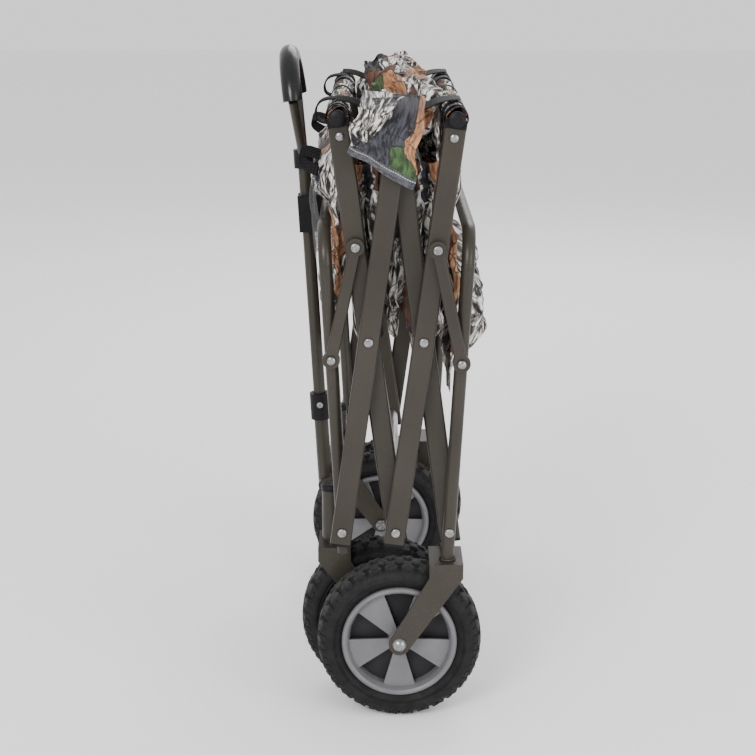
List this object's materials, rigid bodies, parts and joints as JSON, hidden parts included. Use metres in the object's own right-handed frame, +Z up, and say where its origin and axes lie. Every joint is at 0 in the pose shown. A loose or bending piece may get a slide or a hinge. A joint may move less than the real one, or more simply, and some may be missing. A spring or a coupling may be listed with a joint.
{
  "type": "folding camp wagon",
  "caption": "Folding camp wagon, folded upright: crossed bar side frames, bunched fabric tub, pull handle with a loop grip and spoked wheels with knobby tyres.",
  "frame": {"origin": "on the ground under the middle of the folded wagon", "axes": "+X to the rear, -X to the handle, +Y to the wagon's right side, +Z up"},
  "size_m": [0.2537, 0.5778, 0.8068],
  "materials": {
    "frame_paint": "satin powder coat",
    "zinc_bolt": "bright zinc",
    "bright_tube": "plated",
    "black_plastic": "moulded",
    "rim_plastic": "moulded grey",
    "tyre_rubber": "knobby tread",
    "grip_rubber": "glossy",
    "camo_fabric": "woven, bark and leaf print"
  },
  "bodies": {
    "centre": {"centre_tube": "bright_tube", "centre_bolts": "zinc_bolt"},
    "front_rail_bars": {"front_rail_bars": "frame_paint", "front_rail_cradles": "black_plastic", "front_rail": "frame_paint", "front_rail_sleeve": "camo_fabric", "front_link_bolts": "zinc_bolt"},
    "rear_rail_bars": {"rear_rail_bars": "frame_paint", "rear_rail_cradles": "black_plastic", "rear_rail": "frame_paint", "rear_rail_sleeve": "camo_fabric", "rear_link_bolts": "zinc_bolt"},
    "front_risers": {"front_riser_bars": "frame_paint", "front_riser_plugs": "black_plastic", "front_riser_bolts": "zinc_bolt"},
    "rear_risers": {"rear_riser_bars": "frame_paint", "rear_riser_plugs": "black_plastic"},
    "front_frame": {"front_posts": "frame_paint", "front_top_tube": "frame_paint", "front_cross_tube": "frame_paint", "caster_stems": "frame_paint", "caster_stem_caps": "black_plastic", "front_foot_bolts": "zinc_bolt", "handle_hinge_bracket": "frame_paint", "handle_clip": "black_plastic"},
    "rear_frame": {"rear_posts": "frame_paint", "rear_top_tube": "frame_paint", "rear_cross_tube": "frame_paint", "rear_forks": "frame_paint", "rear_frame_bolts": "zinc_bolt"},
    "front_links": {"front_links": "frame_paint"},
    "rear_links": {"rear_links": "frame_paint"},
    "caster_left": {"caster_fork_left": "frame_paint", "caster_axle_left": "zinc_bolt"},
    "caster_right": {"caster_fork_right": "frame_paint", "caster_axle_right": "zinc_bolt"},
    "wheel_front_left": {"tyre_front_left": "tyre_rubber", "rim_front_left": "rim_plastic"},
    "wheel_front_right": {"tyre_front_right": "tyre_rubber", "rim_front_right": "rim_plastic"},
    "wheel_rear_left": {"tyre_rear_left": "tyre_rubber", "rim_rear_left": "rim_plastic"},
    "wheel_rear_right": {"tyre_rear_right": "tyre_rubber", "rim_rear_right": "rim_plastic"},
    "handle_lower": {"handle_sheath": "frame_paint", "handle_collar": "black_plastic"},
    "handle_button": {"handle_button": "zinc_bolt"},
    "handle_upper": {"handle_pull_tube": "frame_paint", "handle_yoke": "black_plastic", "handle_loop_legs": "frame_paint", "handle_grip": "grip_rubber"},
    "cloth_middle": {"top_flaps": "camo_fabric", "side_cloth_middle": "camo_fabric"},
    "cloth_front": {"side_cloth_front": "camo_fabric", "end_cloth_front": "camo_fabric"},
    "cloth_rear": {"side_cloth_rear": "camo_fabric", "end_cloth_rear": "camo_fabric"},
    "floor_front": {"floor_panel_front": "camo_fabric"},
    "floor_rear": {"floor_panel_rear": "camo_fabric"},
    "floor_middle": {"floor_bunch": "camo_fabric"}
  },
  "joints": [
    {"name": "fold", "type": "hinge", "parent": "centre", "child": "front_rail_bars", "pos_m": [0.02063, 0, 0.244], "axis": [0, -1, 0], "range_deg": [0, 48.2]},
    {"name": "rear_rail_turn", "type": "hinge", "parent": "centre", "child": "rear_rail_bars", "pos_m": [0.02063, 0, 0.244], "axis": [0, -1, 0], "range_deg": [-48.22, 0]},
    {"name": "front_cross_turn", "type": "hinge", "parent": "front_rail_bars", "child": "front_risers", "pos_m": [-0.01181, 0, 0.48079], "axis": [0, -1, 0], "range_deg": [-96.42, 0]},
    {"name": "rear_cross_turn", "type": "hinge", "parent": "rear_rail_bars", "child": "rear_risers", "pos_m": [0.05307, 0, 0.48079], "axis": [0, -1, 0], "range_deg": [0, 96.42]},
    {"name": "front_foot_turn", "type": "hinge", "parent": "front_risers", "child": "front_frame", "pos_m": [-0.04424, 0, 0.244], "axis": [0, -1, 0], "range_deg": [0, 53.7]},
    {"name": "rear_foot_turn", "type": "hinge", "parent": "rear_risers", "child": "rear_frame", "pos_m": [0.0855, 0, 0.244], "axis": [0, -1, 0], "range_deg": [-53.7, 0]},
    {"name": "front_link_turn", "type": "hinge", "parent": "front_rail_bars", "child": "front_links", "pos_m": [-0.02701, 0, 0.59175], "axis": [0, -1, 0], "range_deg": [-131.98, 0]},
    {"name": "rear_link_turn", "type": "hinge", "parent": "rear_rail_bars", "child": "rear_links", "pos_m": [0.06827, 0, 0.59175], "axis": [0, -1, 0], "range_deg": [0, 131.98]},
    {"name": "cloth_drop", "type": "slide", "parent": "centre", "child": "cloth_middle", "axis": [0, 0, -1], "range_m": [0, 0.2082]},
    {"name": "cloth_front_spread", "type": "slide", "parent": "cloth_middle", "child": "cloth_front", "axis": [-1, 0, 0], "range_m": [0, 0.3452]},
    {"name": "cloth_rear_spread", "type": "slide", "parent": "cloth_middle", "child": "cloth_rear", "axis": [1, 0, 0], "range_m": [0, 0.3452]},
    {"name": "floor_front_lay", "type": "hinge", "parent": "front_frame", "child": "floor_front", "pos_m": [-0.08563, 0, 0.33966], "axis": [0, -1, 0], "range_deg": [-95.5, 0]},
    {"name": "floor_rear_lay", "type": "hinge", "parent": "rear_frame", "child": "floor_rear", "pos_m": [0.12689, 0, 0.33966], "axis": [0, -1, 0], "range_deg": [0, 95.5]},
    {"name": "floor_middle_drop", "type": "slide", "parent": "centre", "child": "floor_middle", "axis": [0, 0, -1], "range_m": [0, 0.4402]},
    {"name": "caster_left_swivel", "type": "hinge", "parent": "front_frame", "child": "caster_left", "pos_m": [-0.05924, -0.181, 0.202], "axis": [0, 0, 1], "range_deg": [0, 180]},
    {"name": "wheel_front_left_spin", "type": "hinge", "parent": "caster_left", "child": "wheel_front_left", "pos_m": [0.00376, -0.181, 0.1016], "axis": [0, 1, 0], "continuous": true},
    {"name": "caster_right_swivel", "type": "hinge", "parent": "front_frame", "child": "caster_right", "pos_m": [-0.05924, 0.181, 0.202], "axis": [0, 0, -1], "range_deg": [0, 180]},
    {"name": "wheel_front_right_spin", "type": "hinge", "parent": "caster_right", "child": "wheel_front_right", "pos_m": [0.00376, 0.181, 0.1016], "axis": [0, 1, 0], "continuous": true},
    {"name": "wheel_rear_left_spin", "type": "hinge", "parent": "rear_frame", "child": "wheel_rear_left", "pos_m": [0.0255, -0.251, 0.1016], "axis": [0, 1, 0], "continuous": true},
    {"name": "wheel_rear_right_spin", "type": "hinge", "parent": "rear_frame", "child": "wheel_rear_right", "pos_m": [0.0255, 0.251, 0.1016], "axis": [0, 1, 0], "continuous": true},
    {"name": "handle_tilt", "type": "hinge", "parent": "front_frame", "child": "handle_lower", "pos_m": [-0.07264, 0, 0.217], "axis": [0, -1, 0], "range_deg": [0, 96]},
    {"name": "handle_slide", "type": "slide", "parent": "handle_lower", "child": "handle_upper", "axis": [-0.0558, 0, 0.9984], "range_m": [0, 0.08]},
    {"name": "button_press", "type": "slide", "parent": "handle_lower", "child": "handle_button", "axis": [0, 1, 0], "range_m": [0, 0.0015], "stiffness_N_per_m": 400}
  ],
  "couplings": [
    {"joint": "rear_rail_turn", "follows": "fold", "ratio": -1},
    {"joint": "front_cross_turn", "follows": "fold", "ratio": -2},
    {"joint": "rear_cross_turn", "follows": "fold", "ratio": 2},
    {"joint": "front_foot_turn", "follows": "fold", "ratio": 1.1138},
    {"joint": "rear_foot_turn", "follows": "fold", "ratio": -1.1138},
    {"joint": "front_link_turn", "follows": "fold", "ratio": -2.7379},
    {"joint": "rear_link_turn", "follows": "fold", "ratio": 2.7379},
    {"joint": "cloth_drop", "follows": "fold", "m_per_rad": 0.24725},
    {"joint": "cloth_front_spread", "follows": "fold", "m_per_rad": 0.4101},
    {"joint": "cloth_rear_spread", "follows": "fold", "m_per_rad": 0.4101},
    {"joint": "floor_front_lay", "follows": "fold", "ratio": -1.981},
    {"joint": "floor_rear_lay", "follows": "fold", "ratio": 1.981},
    {"joint": "floor_middle_drop", "follows": "fold", "m_per_rad": 0.52303}
  ]
}
